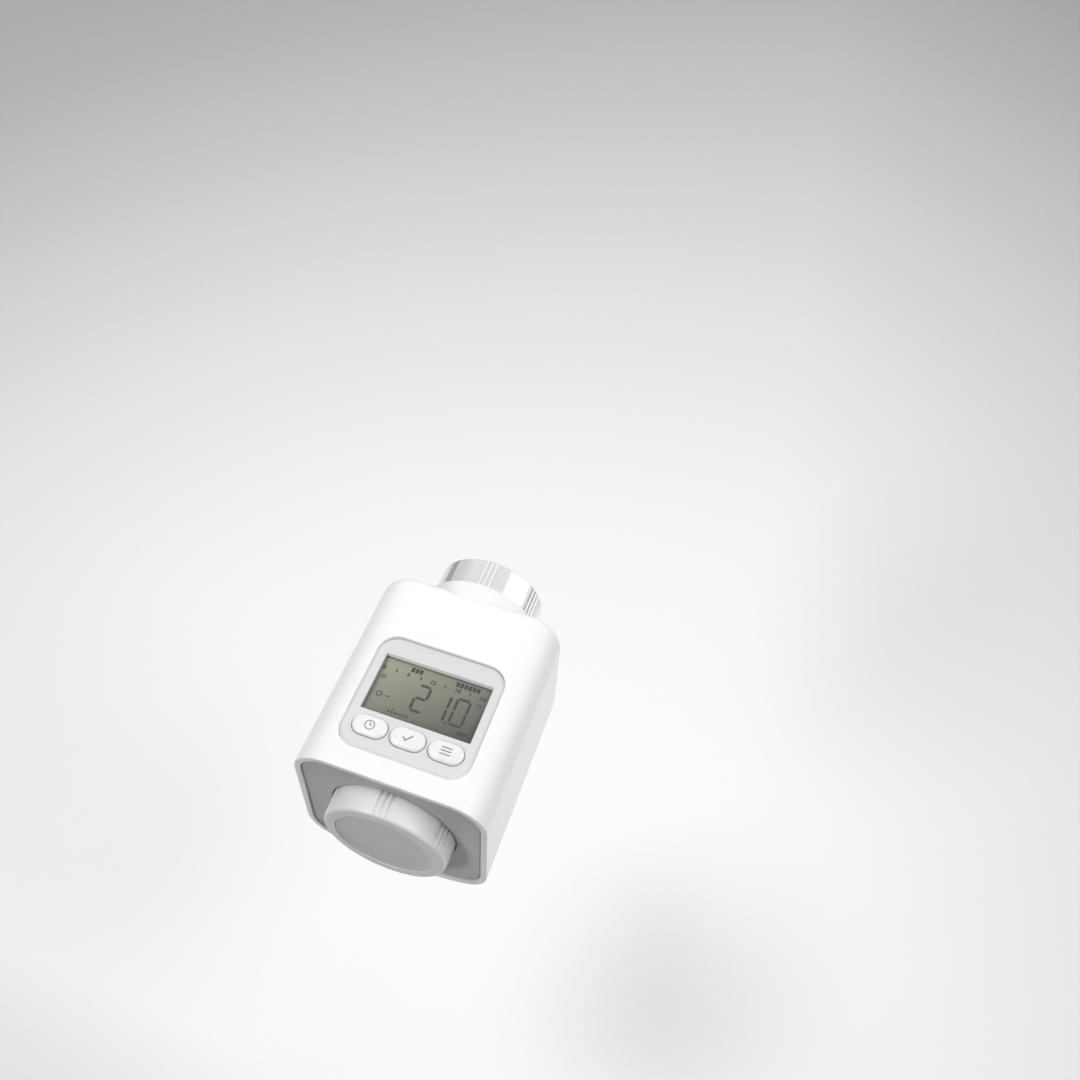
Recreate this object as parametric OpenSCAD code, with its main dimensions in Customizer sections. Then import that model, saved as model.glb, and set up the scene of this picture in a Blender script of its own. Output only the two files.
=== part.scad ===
// Motorised radiator valve head with a display, three keys, a setting wheel and a union nut.
// Origin: centre of the mouth of the union nut. +Y leaves the nut towards the valve, +Z is the display side.

/* [Housing] */
// Width over the flat sides
body_w = 60; // [59:0.5:62]
// Height from the flat top to the lowest point of the belly
body_h = 58.3; // [58:0.1:60]
// Length from the front rim to the rear face
body_l = 69; // [68.5:0.5:72]
// Wall thickness
wall = 2; // [1.8:0.1:2.1]
// Radius of the two top long edges
top_edge_r = 11.4; // [10:0.2:12]
// Radius of the two bottom long edges
low_edge_r = 11.5; // [10:0.5:12]
// Radius of the bulged underside
belly_r = 63; // [56:1:75]
// Rounding round the rear face
rear_round = 4; // [2:0.5:5]

/* [Neck and nut] */
// Distance from the valve axis up to the flat top
axis_drop = 21.5; // [21.4:0.1:22]
// Radius of the neck where it leaves the housing
neck_root_r = 21.4; // [20.5:0.1:21.4]
// Radius of the neck at its rear edge
neck_rim_r = 19.2; // [18.8:0.1:20]
// Outer radius of the union nut
nut_r = 17.7; // [17.5:0.1:17.8]
// Radius of the nut's thread crests, for M30 x 1.5
thread_r = 14.19; // [14.1:0.01:14.3]
// Length of the nut's thread
thread_l = 9; // [8:0.5:9]

/* [Setting wheel] */
// Outer radius of the wheel at its rear
wheel_r = 19.8; // [19:0.1:19.9]
// How far the wheel stands out of the front rim
wheel_proud = 6.6; // [6:0.1:8]
// Height of the wheel's axis against the valve axis
wheel_z = -6.4; // [-7:0.1:-6]
// Grooves come in this many groups of three
groove_groups = 6; // [4:1:8]

/* [Display panel] */
// Width of the recessed panel
panel_w = 40.8; // [38:0.2:40.8]
// Width of the window
window_w = 34.4; // [30:0.2:34.4]
// Length of the window along the housing
window_l = 19.7; // [18:0.1:19.7]
// Depth of the panel below the flat top
panel_sink = 1.15; // [0.8:0.05:1.2]
// Width of a key
key_w = 10.8; // [9:0.1:11]
// Pitch of the keys
key_pitch = 11.8; // [11.7:0.1:12]
// Travel of a key
key_travel = 0.8; // [0.5:0.1:0.8]

/* [Gear train] */
// Direction from the second gear's axis to the first gear's axis
train_turn = 225; // [220:1:228]
// Direction from the first gear's axis to the motor's axis
motor_turn = 10; // [5:1:15]

/* [Hidden] */
$fn = 64;
eps = 0.01;
gap = 0.25;

tooth_m = 0.5;
pinion_t = 12;
wheel_t = 30;
spindle_t = 36;

rear_y = -16.5;
rim_y = rear_y - body_l;
inner_rear_y = rear_y - wall;
top_z = axis_drop;
low_z = top_z - body_h;
neck_end_y = -10.8;
neck_seat_y = -12.8;
nut_back_y = -12.6;

panel_z = top_z - panel_sink;
panel_y0 = rim_y + 7.2;
panel_y1 = rim_y + 46.05;
panel_r = 6.5;
window_y1 = rim_y + 39.9;
window_y0 = window_y1 - window_l;
window_lip = 1.2;
pane_t = 0.53;
cell_back_z = panel_z - 3.1;
key_y = rim_y + 15.15;
key_d = 6.5;
key_xs = [-key_pitch, 0, key_pitch];
board_z = 11.2;
board_t = 1.6;
boss_xy = [for (x = [-18, 18]) for (y = [rim_y + 8.5, panel_y1 - 1.75]) [x, y]];

plate_y = rim_y + 0.6;
plate_gap = 0.35;
cup_y = rim_y + 4.6;
wheel_front_y = rim_y - wheel_proud;
shaft_r = 3;
groove_step = 5.4;

spindle_r = 3.4;
second_at = [-(spindle_t + pinion_t) * tooth_m / 2, 0];
train_d = (wheel_t + pinion_t) * tooth_m / 2;
first_at = second_at + train_d * [cos(train_turn), sin(train_turn)];
motor_at = first_at + train_d * [cos(motor_turn), sin(motor_turn)];
pin_r = 0.98;
post_at = [[15.5, 8], [14, -13], [-24, 5.5]];
frame_y0 = -39;
frame_y1 = -37.2;
adapter_y0 = -20.4;
fix_at = [[4, 15], [-9, 12.5], [9.2, -12.2], [-8, -13]];

cell_r = 7.1;
cell_x = 8;
cell_z = -26.5;
tray_y0 = -77.5;
tray_y1 = -22.4;
door_y0 = -78.6;
door_y1 = -23;
door_half_w = 19;

// ---- shared shapes ----

// Extrusion of a flat outline (x, z) from y0 to y1
module slab(y0, y1) {
    translate([0, y1, 0]) rotate([90, 0, 0]) linear_extrude(y1 - y0) children();
}

// Solid of revolution about the Y direction from points [radius, y]
module turned(points, at = [0, 0]) {
    translate([at[0], 0, at[1]]) rotate([-90, 0, 0]) rotate_extrude($fn = 96) polygon(points);
}

module rod(r, y0, y1, at = [0, 0]) {
    translate([at[0], y0, at[1]]) rotate([-90, 0, 0]) cylinder(r = r, h = y1 - y0);
}

module post(r, z0, z1, at) {
    translate([at[0], at[1], z0]) cylinder(r = r, h = z1 - z0);
}

module block(x0, x1, y0, y1, z0, z1) {
    translate([x0, y0, z0]) cube([x1 - x0, y1 - y0, z1 - z0]);
}

// Flat rounded rectangle between two corners, made of bars and discs
module rounded(x0, x1, y0, y1, r) {
    translate([x0 + r, y0]) square([x1 - x0 - 2 * r, y1 - y0]);
    translate([x0, y0 + r]) square([x1 - x0, y1 - y0 - 2 * r]);
    for (x = [x0 + r, x1 - r]) for (y = [y0 + r, y1 - r]) translate([x, y]) circle(r);
}

module pill(w, d) {
    square([w - d, d], center = true);
    for (s = [-1, 1]) translate([s * (w - d) / 2, 0]) circle(d / 2);
}

function arc(c, r, a0, a1, n) =
    [for (i = [0 : n]) c + r * [cos(a0 + (a1 - a0) * i / n), sin(a0 + (a1 - a0) * i / n)]];

// Cross-section of the housing, moved inwards by inset: two top rounds, two low rounds and a belly arc
function housing_outline(inset) =
    let (tx = body_w / 2 - top_edge_r, tz = top_z - top_edge_r,
        lx = body_w / 2 - low_edge_r, bz = low_z + belly_r,
        lz = bz - sqrt(pow(belly_r - low_edge_r, 2) - lx * lx), t = atan2(bz - lz, lx),
        tr = top_edge_r - inset, lr = low_edge_r - inset)
    concat(arc([tx, tz], tr, 0, 90, 12), arc([-tx, tz], tr, 90, 180, 12),
        arc([-lx, lz], lr, 180, 180 + t, 8), arc([0, bz], belly_r - inset, 181 + t, 359 - t, 12),
        arc([lx, lz], lr, 360 - t, 360, 8));

function housing_ring(y, inset) = [for (p = housing_outline(inset)) [p[0], y, p[1]]];

// Outside of the housing, closed through its cross-sections from the rim to the rounded rear
module housing_mass() {
    steps = 5;
    rings = concat([housing_ring(rim_y, 0)], [for (i = [0 : steps]) let (a = 90 * i / steps)
        housing_ring(rear_y - rear_round * (1 - sin(a)), rear_round * (1 - cos(a)))]);
    n = len(rings[0]);
    last = len(rings) - 1;
    polyhedron(points = [for (ring = rings) each ring], faces = concat(
        [[for (j = [n - 1 : -1 : 0]) j], [for (j = [0 : n - 1]) last * n + j]],
        [for (i = [0 : last - 1]) for (j = [0 : n - 1]) let (k = (j + 1) % n)
            [i * n + j, i * n + k, (i + 1) * n + k, (i + 1) * n + j]]));
}

module panel_outline(grow) {
    rounded(-panel_w / 2 - grow, panel_w / 2 + grow, panel_y0 - grow, panel_y1 + grow, panel_r + grow);
}

module door_outline(grow) {
    rounded(-door_half_w - grow, door_half_w + grow, door_y0 - grow, door_y1 + grow, 3 + grow);
}

// Places children at each groove of the groups round an axis, at radius r
module at_grooves(r, first, at = [0, 0]) {
    for (g = [0 : groove_groups - 1]) for (k = [-1 : 1]) {
        a = first + g * 360 / groove_groups + k * groove_step;
        translate([at[0] + r * cos(a), 0, at[1] + r * sin(a)]) children();
    }
}

// Screw along +Y with its head at y, or turned by the caller
module screw(r, head_r, l) {
    rotate([-90, 0, 0]) cylinder(r = r, h = l);
    rotate([90, 0, 0]) difference() {
        cylinder(r = head_r, h = 1.2);
        for (a = [0, 90]) rotate([0, 0, a]) translate([-0.9, -0.2, 0.6]) cube([1.8, 0.4, 1]);
    }
}

// ---- gear teeth ----

// Turn of an involute point at radius r from the flank's start on the base circle rb
function involute(r, rb) = sqrt(max(r * r / rb / rb - 1, 0)) * 180 / PI - acos(min(rb / r, 1));

// Outline of an involute gear of n teeth with one tooth centred on direction lead
function gear_outline(n, lead) =
    let (pressure = 25, play = 0.05, rp = n * tooth_m / 2, rb = rp * cos(pressure),
        ra = rp + 0.9 * tooth_m, rr = rp - 1.15 * tooth_m, rs = max(rb, rr),
        half = 90 / n - play / rp * 180 / PI / 2 + involute(rp, rb),
        flank = [for (i = [0 : 3]) let (r = rs + (ra - rs) * i / 3) [r, half - involute(r, rb)]])
    [for (k = [0 : n - 1]) for (p = concat([[rr, -half - 0.2]], [for (i = [0 : 3]) [flank[i][0], -flank[i][1]]],
        [for (i = [3 : -1 : 0]) flank[i]], [[rr, half + 0.2]]))
        let (a = lead + 360 * k / n + p[1]) p[0] * [cos(a), sin(a)]];

module gear(n, lead, y0, y1, at) {
    slab(y0, y1) translate(at) polygon(gear_outline(n, lead));
}

// ---- housing ----

module housing_shell() {
    color("white") difference() {
        union() {
            housing_mass();
            turned([[0, -21], [neck_root_r, -21], [neck_root_r, -19.5], [neck_rim_r, neck_end_y - 0.5],
                [neck_rim_r - 0.5, neck_end_y], [0, neck_end_y]]);
        }
        slab(rim_y - 1, inner_rear_y) polygon(housing_outline(wall));
        rod(17, inner_rear_y - eps, neck_seat_y - wall);
        rod(14.1, inner_rear_y, neck_end_y + 1);
        rod(18, neck_seat_y, neck_end_y + 1);
        for (p = fix_at) rod(1.05, -17, neck_seat_y - 0.4, p);
        translate([0, 0, 15]) linear_extrude(10) panel_outline(0);
        translate([0, 0, low_z - 2]) linear_extrude(12) door_outline(0);
    }
}

module end_plate() {
    color("gainsboro") difference() {
        union() {
            slab(plate_y, plate_y + wall) polygon(housing_outline(wall + plate_gap));
            rod(wheel_r + 1.6, plate_y, cup_y + 1.5, [0, wheel_z]);
            rod(5.5, cup_y, cup_y + 3, [0, wheel_z]);
            for (s = [-1, 1]) block(s * 27 - 0.6, s * 27 + 0.6, plate_y + 1, plate_y + 8, -10, 0);
        }
        turned([[0, rim_y - 1], [28, rim_y - 1], [28, plate_y], [wheel_r + 0.35, plate_y + 0.5],
            [0, plate_y + 0.5]], [0, wheel_z]);
        rod(wheel_r + 0.35, rim_y - 1, cup_y, [0, wheel_z]);
        rod(shaft_r + 0.05, rim_y, cup_y + 4, [0, wheel_z]);
    }
}

// ---- setting wheel ----

module adjusting_knob() {
    edge = 2;
    front_r = wheel_r - 0.4;
    color("silver") difference() {
        turned(concat([[0, wheel_front_y + 1.6], [15.6, wheel_front_y + 1.6], [15.6, wheel_front_y]],
            arc([front_r - edge, wheel_front_y + edge], edge, -90, 0, 6),
            [[wheel_r, cup_y - 1.5], [wheel_r - 2.2, cup_y - 1.5], [wheel_r - 2.2, wheel_front_y + 3.6],
                [shaft_r, wheel_front_y + 3.6], [shaft_r, cup_y + 3.1], [2.4, cup_y + 3.1],
                [2.4, cup_y + 3.9], [shaft_r, cup_y + 3.9], [shaft_r, cup_y + 9], [0, cup_y + 9]]),
            [0, wheel_z]);
        at_grooves(wheel_r + 0.1, 90, [0, wheel_z]) rod(0.6, wheel_front_y + 1.3, cup_y, $fn = 24);
    }
}

module knob_disc() {
    disc_r = 15.5;
    dish = 0.75;
    y0 = wheel_front_y + 0.3;
    color("darkgray") turned(concat([for (i = [0 : 6]) [disc_r * i / 6, y0 + dish * (1 - i * i / 36)]],
        [[disc_r, y0 + 1.25], [0, y0 + 1.25]]), [0, wheel_z]);
}

module knob_clip() {
    color("dimgray") difference() {
        rod(5, cup_y + 3.15, cup_y + 3.85, [0, wheel_z]);
        rod(2.4, cup_y, cup_y + 6, [0, wheel_z]);
        block(-1.9, 1.9, cup_y, cup_y + 6, wheel_z - 6, wheel_z - 1);
    }
}

module encoder_body() {
    color("dimgray") difference() {
        block(-6, 6, -76.4, -70.4, wheel_z - 6, wheel_z + 6);
        rod(shaft_r + 0.05, -77, -71.4, [0, wheel_z]);
    }
}

module encoder_board() {
    color("seagreen") block(-10, 10, -70.4, -69.2, -15, 4.5);
}

module encoder_pins() {
    color("gold") for (i = [-2 : 2]) {
        x = i * 2.5;
        block(x - 0.3, x + 0.3, -69.2, -68.6, 2, board_z);
    }
}

// ---- display panel and keys ----

module fascia_panel() {
    color("whitesmoke") difference() {
        union() {
            translate([0, 0, panel_z - 1.6]) linear_extrude(1.6) panel_outline(-0.1);
            translate([0, 0, panel_z - 2.3]) linear_extrude(0.8) panel_outline(1.5);
            for (p = boss_xy) post(2, board_z + board_t, panel_z - 2, p);
        }
        block(-window_w / 2, window_w / 2, window_y0, window_y1, 10, 30);
        block(-19, 19, window_y0 - 0.9, window_y1 + 1.3, 10, panel_z - window_lip);
        for (x = key_xs) translate([x, key_y, 10]) {
            linear_extrude(20) pill(key_w + 2 * gap, key_d + 2 * gap);
            linear_extrude(panel_z - 11.6) pill(key_w + 1.1, key_d + 1.1);
        }
        for (p = boss_xy) post(0.9, board_z, board_z + 5, p);
    }
}

module display_window() {
    z1 = panel_z - window_lip - 0.02;
    color("lightcyan", 0.4) block(-18.6, 18.6, window_y0 - 0.7, window_y1 + 1.1, z1 - pane_t, z1);
}

module lcd_cell() {
    color("darkkhaki") block(-18.2, 18.2, window_y0 - 0.7, window_y1 + 0.9, cell_back_z, panel_z - window_lip - pane_t - 0.07);
}

module lcd_frame() {
    z0 = board_z + board_t;
    z1 = cell_back_z - 0.05;
    color("white") difference() {
        union() {
            block(-18.9, 18.9, window_y0 - 0.8, window_y1 + 1, z0, z1);
            for (s = [-1, 1]) block(s * 18.6 - 0.3, s * 18.6 + 0.3, window_y0 + 2, window_y1 - 2, z0, z1 + 1.2);
        }
        block(-16.5, 16.5, window_y0 + 2.6, window_y1 - 2.6, z0 - 1, z1 + 1);
        for (y = [window_y0 + 0.9, window_y1 - 0.9]) block(-17, 17, y - 0.8, y + 0.8, z0 - 1, z1 + 1);
    }
}

module contact_strips() {
    color("slategray") for (y = [window_y0 + 0.9, window_y1 - 0.9])
        block(-16.9, 16.9, y - 0.7, y + 0.7, board_z + board_t, cell_back_z - 0.05);
}

// Key cap with a low crown, a flange under the panel and a stem over its switch
module key_cap(x) {
    crown_z = top_z - 0.05;
    color("white") translate([x, key_y, 0]) {
        translate([0, 0, panel_z - 2.9]) linear_extrude(0.9) pill(key_w + 0.6, key_d + 0.6);
        hull() {
            translate([0, 0, panel_z - 2.5]) linear_extrude(eps) pill(key_w, key_d, $fn = 32);
            translate([0, 0, crown_z - 0.9]) linear_extrude(eps) pill(key_w, key_d, $fn = 32);
            translate([0, 0, crown_z - 0.35]) linear_extrude(eps) pill(key_w - 0.6, key_d - 0.6, $fn = 32);
            translate([0, 0, crown_z - eps]) linear_extrude(eps) pill(key_w - 2.4, key_d - 2.4, $fn = 32);
        }
        translate([0, 0, panel_z - 4.1]) cylinder(r = 1.5, h = 1.5);
    }
}

module button_clock() {
    key_cap(key_xs[0]);
}

module button_confirm() {
    key_cap(key_xs[1]);
}

module button_menu() {
    key_cap(key_xs[2]);
}

module key_switches() {
    z0 = board_z + board_t;
    color("dimgray") for (x = key_xs) {
        block(x - 3, x + 3, key_y - 3, key_y + 3, z0, z0 + 1.6);
        post(1.2, z0 + 1.6, panel_z - 4.2 - key_travel, [x, key_y]);
    }
}

// ---- electronics ----

module main_board() {
    color("seagreen") difference() {
        translate([0, 0, board_z]) linear_extrude(board_t) rounded(-23, 23, -79, -37.5, 2);
        for (p = boss_xy) post(1.1, board_z - 1, board_z + 3, p);
    }
}

module board_parts() {
    color("black") {
        block(-6, 6, -58, -46, board_z - 1.4, board_z);
        block(10, 15, -60, -56, board_z - 1.2, board_z);
        post(2.5, board_z - 2, board_z, [-15, -56]);
        post(1.6, board_z - 2, board_z, [14, -48]);
        for (i = [0 : 4]) block(8 + i * 2.6, 9.2 + i * 2.6, -70, -68, board_z - 0.8, board_z);
    }
}

module board_screws() {
    color("silver") for (p = boss_xy)
        translate([p[0], p[1], board_z]) rotate([90, 0, 0]) screw(0.88, 1.9, 5);
}

// ---- batteries ----

module battery_tray() {
    shelf_z = cell_z + cell_r + 0.4;
    color("lightgray") {
        block(-17.4, 17.4, tray_y0, tray_y1, shelf_z, shelf_z + 1.2);
        for (y = [tray_y0, tray_y1 - 1]) block(-17.4, 17.4, y, y + 1, -31.5, shelf_z + eps);
        for (s = [-1, 1]) block(s * 16.9 - 0.5, s * 16.9 + 0.5, tray_y0, tray_y1, cell_z - 1, shelf_z + eps);
        block(-0.4, 0.4, tray_y0, tray_y1, cell_z, shelf_z + eps);
    }
}

// Round cell with its nub towards +Y, or towards -Y when flipped
module cell(x, flat_y, way) {
    can_l = 49.4;
    translate([x, flat_y, cell_z]) rotate([-90 * way, 0, 0]) rotate_extrude()
        polygon([[0, 0], [cell_r - 0.4, 0], [cell_r, 0.4], [cell_r, can_l - 0.5], [cell_r - 0.5, can_l],
            [2.75, can_l], [2.75, 50.5], [0, 50.5]]);
}

module cell_left() {
    color("steelblue") cell(-cell_x, tray_y0 + 3.1, 1);
}

module cell_right() {
    color("steelblue") cell(cell_x, tray_y1 - 3.1, -1);
}

module battery_springs() {
    wire = 0.35;
    color("silver") for (s = [-1, 1]) {
        y = s < 0 ? tray_y0 + 1.4 : tray_y1 - 1.4;
        for (i = [0 : 2]) translate([s * cell_x, y - s * (wire + 0.45 * i), cell_z]) rotate([90, 0, 0])
            rotate_extrude() translate([4.6 - 0.6 * i, 0]) circle(wire, $fn = 16);
    }
}

module battery_plates() {
    color("silver") for (x = [-cell_x, cell_x]) {
        block(x - 5, x + 5, tray_y0 + 1, tray_y0 + 1.4, cell_z - 4.5, cell_z + 5);
        block(x - 5, x + 5, tray_y1 - 1.4, tray_y1 - 1, cell_z - 4.5, cell_z + 5);
    }
}

module battery_door() {
    color("white") {
        intersection() {
            difference() {
                slab(rim_y, rear_y) polygon(housing_outline(0));
                slab(rim_y - 1, rear_y + 1) polygon(housing_outline(wall));
            }
            translate([0, 0, low_z - 1]) linear_extrude(10) door_outline(-gap);
        }
        for (s = [-1, 1]) for (y = [-70, -36]) block(s * 18.1 - 0.5, s * 18.1 + 0.5, y, y + 8, -32, -27);
    }
}

// ---- drive ----

module motor_can() {
    color("silver") difference() {
        union() {
            intersection() {
                rod(7.75, -62, frame_y0, motor_at);
                block(-40, 40, -62, frame_y0, motor_at[1] - 6, motor_at[1] + 6);
            }
            rod(3, frame_y0 - eps, frame_y1, motor_at);
            for (s = [-1, 1]) block(motor_at[0] + s * 3 - 0.8, motor_at[0] + s * 3 + 0.8, -63.5, -62 + eps,
                motor_at[1] - 0.3, motor_at[1] + 0.3);
        }
        rod(1.05, -50, frame_y1 + 1, motor_at);
    }
}

module motor_shaft() {
    color("gainsboro") rod(1, -49.8, -32.2, motor_at);
}

module motor_pinion() {
    color("gold") difference() {
        gear(pinion_t, 180 + motor_turn + 180 / pinion_t, -36.2, -32.3, motor_at);
        rod(1, -37, -32, motor_at);
    }
}

module motor_leads() {
    color("firebrick") for (s = [-1, 1]) {
        x = motor_at[0] + s * 3;
        rod(0.55, -65, -63.5, [x, motor_at[1]]);
        translate([x, -65, motor_at[1]]) sphere(0.55);
        post(0.55, motor_at[1], board_z, [x, -65]);
    }
}

module first_gear() {
    color("ivory") difference() {
        union() {
            gear(wheel_t, motor_turn, -35, -32.2, first_at);
            gear(pinion_t, train_turn + 180 + 180 / pinion_t, -32.3, -28.3, first_at);
            rod(1.9, frame_y1 + 0.15, -35 + eps, first_at);
            rod(1.9, -28.4, adapter_y0 - 0.15, first_at);
        }
        rod(pin_r + 0.06, -40, -15, first_at);
    }
}

module second_gear() {
    color("ivory") difference() {
        union() {
            gear(wheel_t, train_turn, -31, -28.5, second_at);
            gear(pinion_t, 180 / pinion_t, -28.6, -22.1, second_at);
            rod(1.9, frame_y1 + 0.15, -31 + eps, second_at);
            rod(1.6, -22.2, adapter_y0 - 0.15, second_at);
        }
        rod(pin_r + 0.06, -40, -15, second_at);
    }
}

module gear_pins() {
    color("silver") for (p = [first_at, second_at]) rod(pin_r, frame_y0 + 0.3, adapter_y0 + 1.5, p);
}

module gear_frame() {
    color("dimgray") difference() {
        union() {
            slab(frame_y0, frame_y1) {
                translate([-26.5, -15]) square([44.5, 25.5]);
                circle(10.5);
            }
            for (p = post_at) rod(2.2, frame_y1 - eps, adapter_y0, p);
        }
        rod(3.05, -45, -30, motor_at);
        rod(3.8, -45, -30);
        for (p = [first_at, second_at]) rod(1, -45, -30, p);
        for (p = post_at) rod(1, -45, -15, p);
    }
}

module gear_screws() {
    color("silver") for (p = post_at) translate([p[0], frame_y0, p[1]]) screw(0.98, 1.9, 20);
}

module spindle_gear() {
    color("ivory") difference() {
        union() {
            gear(spindle_t, 180, -27, -22, [0, 0]);
            rod(6.5, -22.1, -17.6);
            rod(5, -28.2, -26.9);
        }
        rod(spindle_r + 0.05, -30, -15);
    }
}

module thrust_washer() {
    color("gold") difference() {
        rod(9.5, -21.85, adapter_y0 - 0.05);
        rod(6.8, -23, -19);
    }
}

module plunger() {
    color("silver") rod(spindle_r, -31, -15);
}

module pusher_cap() {
    color("dimgray") {
        difference() {
            rod(5, -17, -10);
            rod(spindle_r, -18, -15);
        }
        for (s = [-1, 1]) block(s * 5.3 - 0.6, s * 5.3 + 0.6, -16.5, -13, -0.8, 0.8);
    }
}

module valve_adapter() {
    color("gray") difference() {
        union() {
            rod(16.9, adapter_y0, neck_seat_y - wall - 0.05);
            rod(14, adapter_y0, neck_seat_y - 0.1);
            rod(11.95, adapter_y0, -9.3);
            slab(adapter_y0, -18.6) {
                for (p = concat(post_at, [first_at])) {
                    translate(p) circle(3);
                    rotate(atan2(p[1], p[0])) translate([8, -2.4]) square([norm(p) - 8, 4.8]);
                }
            }
        }
        turned([[10.9, -10.9], [13, -10.9], [13, -9.9], [10.9, -9.9]]);
        rod(5.05, -25, -8);
        rod(6.55, -25, -17.2);
        for (s = [-1, 1]) block(s * 5.5 - 0.6, s * 5.5 + 0.6, -17.3, -9, -0.9, 0.9);
        for (p = fix_at) rod(1.1, -25, -8, p);
        for (p = [first_at, second_at]) rod(1, -25, adapter_y0 + 1.7, p);
        for (p = post_at) rod(1, -25, -18.9, p);
    }
}

module adapter_screws() {
    color("silver") for (p = fix_at) translate([p[0], adapter_y0, p[1]]) screw(1, 1.9, 7);
}

module nut_ring() {
    color("gainsboro") difference() {
        turned([[10.95, -10.85], [13.4, -10.85], [13.4, -9.95], [10.95, -9.95]]);
        block(-2, 2, -12, -9, -15, -9);
    }
}

module union_nut() {
    color("silver") difference() {
        turned([[12, nut_back_y], [nut_r - 0.4, nut_back_y], [nut_r, nut_back_y + 0.4], [nut_r, -0.5],
            [nut_r - 0.5, 0], [thread_r, 0], [thread_r, -thread_l], [14.9, -thread_l], [14.9, -11],
            [12, -11]]);
        at_grooves(nut_r + 0.15, 88) rod(0.4, nut_back_y - 1, 1, $fn = 16);
    }
}

housing_shell();
end_plate();
adjusting_knob();
knob_disc();
knob_clip();
encoder_body();
encoder_board();
encoder_pins();
fascia_panel();
display_window();
lcd_cell();
lcd_frame();
contact_strips();
button_clock();
button_confirm();
button_menu();
key_switches();
main_board();
board_parts();
board_screws();
battery_tray();
cell_left();
cell_right();
battery_springs();
battery_plates();
battery_door();
motor_can();
motor_shaft();
motor_pinion();
motor_leads();
first_gear();
second_gear();
gear_pins();
gear_frame();
gear_screws();
spindle_gear();
thrust_washer();
plunger();
pusher_cap();
valve_adapter();
adapter_screws();
union_nut();
nut_ring();
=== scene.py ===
from math import atan2, cos, hypot, pi, radians, sin, sqrt
import bmesh
import bpy
from mathutils import Matrix, Vector


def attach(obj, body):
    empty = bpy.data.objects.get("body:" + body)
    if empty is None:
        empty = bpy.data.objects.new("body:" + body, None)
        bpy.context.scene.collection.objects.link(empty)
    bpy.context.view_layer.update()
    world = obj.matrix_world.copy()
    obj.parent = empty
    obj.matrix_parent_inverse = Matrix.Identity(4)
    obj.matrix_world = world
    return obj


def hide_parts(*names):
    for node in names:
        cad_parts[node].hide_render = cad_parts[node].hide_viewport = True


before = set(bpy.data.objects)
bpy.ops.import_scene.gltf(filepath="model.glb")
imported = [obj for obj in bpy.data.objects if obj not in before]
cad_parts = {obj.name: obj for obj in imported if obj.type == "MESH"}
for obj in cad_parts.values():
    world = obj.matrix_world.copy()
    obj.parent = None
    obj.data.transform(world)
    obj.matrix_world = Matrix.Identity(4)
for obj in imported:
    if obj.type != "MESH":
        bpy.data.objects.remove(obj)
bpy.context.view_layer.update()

# ---- Camera, studio and floor ----
# The head is held in the air, as its valve would hold it, so the floor lies below the open battery door.
# A narrow light hangs above on the left, a broad one and a wide panel stand on the right, and a small one
# stands in front on the left. The floor's colour is painted darker towards the viewer and greyer to the
# right:
# painted shade that stands in for dimmer light on those sides.
FLOOR_Z, FLOOR_REACH = -0.25, 3
camera = bpy.data.objects.new("camera", bpy.data.cameras.new("camera"))
camera.data.lens = 36.125
camera.data.sensor_width = 36
camera.data.shift_x = 0.05
camera.data.shift_y = 0.0022
camera.data.clip_start = 0.01
camera.location = (0.0703, -0.1997, 0.2996)
camera.rotation_euler = (Matrix.Rotation(radians(20.03), 3, "Z") @ Matrix.Rotation(radians(37.9), 3, "X")
                         @ Matrix.Rotation(radians(0.651), 3, "Z")).to_euler()
bpy.context.scene.collection.objects.link(camera)
bpy.context.scene.camera = camera
bpy.context.scene.view_settings.view_transform = "Standard"
bpy.context.scene.view_settings.look = "None"


def soft_light(name, place, aim, width, height, power, beam=180):
    lamp = bpy.data.lights.new(name, "AREA")
    lamp.shape = "RECTANGLE"
    lamp.size = width
    lamp.size_y = height
    lamp.energy = power
    lamp.spread = radians(beam)
    holder = bpy.data.objects.new(name, lamp)
    holder.location = place
    holder.rotation_euler = (Vector(aim) - Vector(place)).to_track_quat("-Z", "Y").to_euler()
    bpy.context.scene.collection.objects.link(holder)


soft_light("overhead_light", (-0.5, -0.1, 1.1), (0, 0.2, -0.25), 0.4, 0.4, 0.82, 60)
soft_light("right_light", (0.75, -0.05, 0.85), (0, 0, 0), 0.6, 0.6, 5.8)
soft_light("side_panel", (0.95, 0.45, 0.5), (0, -0.02, 0), 0.9, 0.9, 1.4)
soft_light("front_light", (-0.5, -0.8, 0.6), (0, -0.05, 0), 0.25, 0.25, 4.0)

# The room's far wall is bright, its near side is dim, and it greys a little towards the left
room = bpy.data.worlds.new("white_room")
room.use_nodes = True
sky = room.node_tree
towards = sky.nodes.new("ShaderNodeTexCoord")
parts = sky.nodes.new("ShaderNodeSeparateXYZ")
sky.links.new(towards.outputs["Generated"], parts.inputs[0])
glow = []
for axis, start, end, low, high in ((1, 0.1, 0.55, 0.07, 0.85), (0, -0.85, -0.6, 0.78, 1)):
    ramp = sky.nodes.new("ShaderNodeMapRange")
    ramp.interpolation_type = "SMOOTHSTEP"
    for label, value in (("From Min", start), ("From Max", end), ("To Min", low), ("To Max", high)):
        ramp.inputs[label].default_value = value
    sky.links.new(parts.outputs[axis], ramp.inputs["Value"])
    glow.append(ramp.outputs[0])
both = sky.nodes.new("ShaderNodeMath")
both.operation = "MULTIPLY"
sky.links.new(glow[0], both.inputs[0])
sky.links.new(glow[1], both.inputs[1])
sky.nodes["Background"].inputs["Color"].default_value = (1, 1, 1, 1)
sky.links.new(both.outputs[0], sky.nodes["Background"].inputs["Strength"])
bpy.context.scene.world = room


def link(tree, start, end):
    tree.links.new(start, end)


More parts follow.
